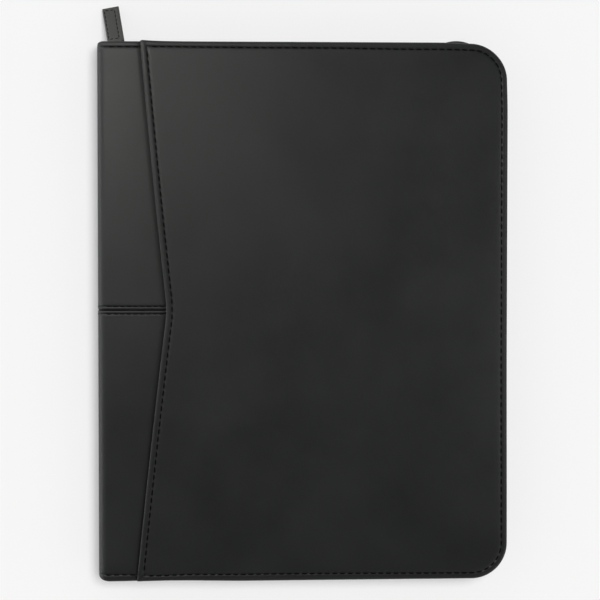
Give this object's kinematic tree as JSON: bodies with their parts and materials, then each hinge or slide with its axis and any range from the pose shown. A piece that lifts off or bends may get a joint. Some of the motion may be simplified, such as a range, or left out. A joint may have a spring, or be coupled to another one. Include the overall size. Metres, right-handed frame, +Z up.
{
  "type": "zippered padfolio",
  "caption": "Letter-size black leatherette padfolio, closed by a zipper round three sides, with a stitched lap seam by the spine, a writing pad and inner pockets.",
  "frame": {"origin": "middle of the back cover's outer face, which lies on the table", "axes": "+X from the spine to the free edge, +Y to the top edge where the zipper starts, +Z up to the front cover"},
  "size_m": [0.251, 0.3527, 0.027],
  "materials": {
    "leatherette": "fine grain, low sheen",
    "pocket_leatherette": "fine grain, low sheen",
    "pull_leather": "fine grain, low sheen",
    "padding": "soft foam",
    "board": "grey board",
    "lining_cloth": "plain weave",
    "elastic": "ribbed elastic",
    "zipper_tape": "twill tape",
    "zipper_coil": "nylon",
    "slider_metal": "black enamel",
    "paper": "ruled sheets",
    "pad_card": "grey board",
    "pad_tape": "binding strip",
    "clear_film": "clear film"
  },
  "bodies": {
    "back_cover": {"back_panel": "leatherette", "spine_wrap_back_upper": "leatherette", "spine_wrap_back_lower": "leatherette", "back_foam": "padding", "back_board": "board", "back_lining": "lining_cloth", "pad_pocket": "pocket_leatherette", "pad_backing": "pad_card", "pad_sheets": "paper", "pad_binding": "pad_tape", "back_zipper_tape": "zipper_tape", "back_zipper_coil": "zipper_coil", "back_zipper_stops": "slider_metal"},
    "spine": {"spine_wall_upper": "leatherette", "spine_wall_lower": "leatherette", "spine_board": "board", "spine_lining": "lining_cloth", "pen_loop": "elastic"},
    "front_cover": {"front_panel": "leatherette", "spine_wrap_front_upper": "leatherette", "spine_wrap_front_lower": "leatherette", "front_foam": "padding", "front_board": "board", "front_lining": "lining_cloth", "document_pocket": "pocket_leatherette", "card_pocket_1": "pocket_leatherette", "card_pocket_2": "pocket_leatherette", "card_pocket_3": "pocket_leatherette", "id_window_frame": "pocket_leatherette", "id_window_film": "clear_film", "front_zipper_tape": "zipper_tape", "front_zipper_coil": "zipper_coil", "front_zipper_stops": "slider_metal"},
    "zipper_slider": {"slider_body": "slider_metal", "slider_bridge": "slider_metal"},
    "pull_tab": {"pull_tab": "pull_leather"}
  },
  "joints": [
    {"name": "spine_fold", "type": "hinge", "parent": "back_cover", "child": "spine", "pos_m": [-0.12404, 0, 0.00246], "axis": [0, -1, 0], "range_deg": [0, 90]},
    {"name": "cover_fold", "type": "hinge", "parent": "spine", "child": "front_cover", "pos_m": [-0.12404, 0, 0.02454], "axis": [0, -1, 0], "range_deg": [0, 90]},
    {"name": "zipper_slide", "type": "slide", "parent": "back_cover", "child": "zipper_slider", "axis": [1, 0, 0], "range_m": [0, 0.208]},
    {"name": "pull_swing", "type": "hinge", "parent": "zipper_slider", "child": "pull_tab", "pos_m": [-0.113, 0.16375, 0.013], "axis": [1, 0, 0], "range_deg": [0, 88]}
  ]
}
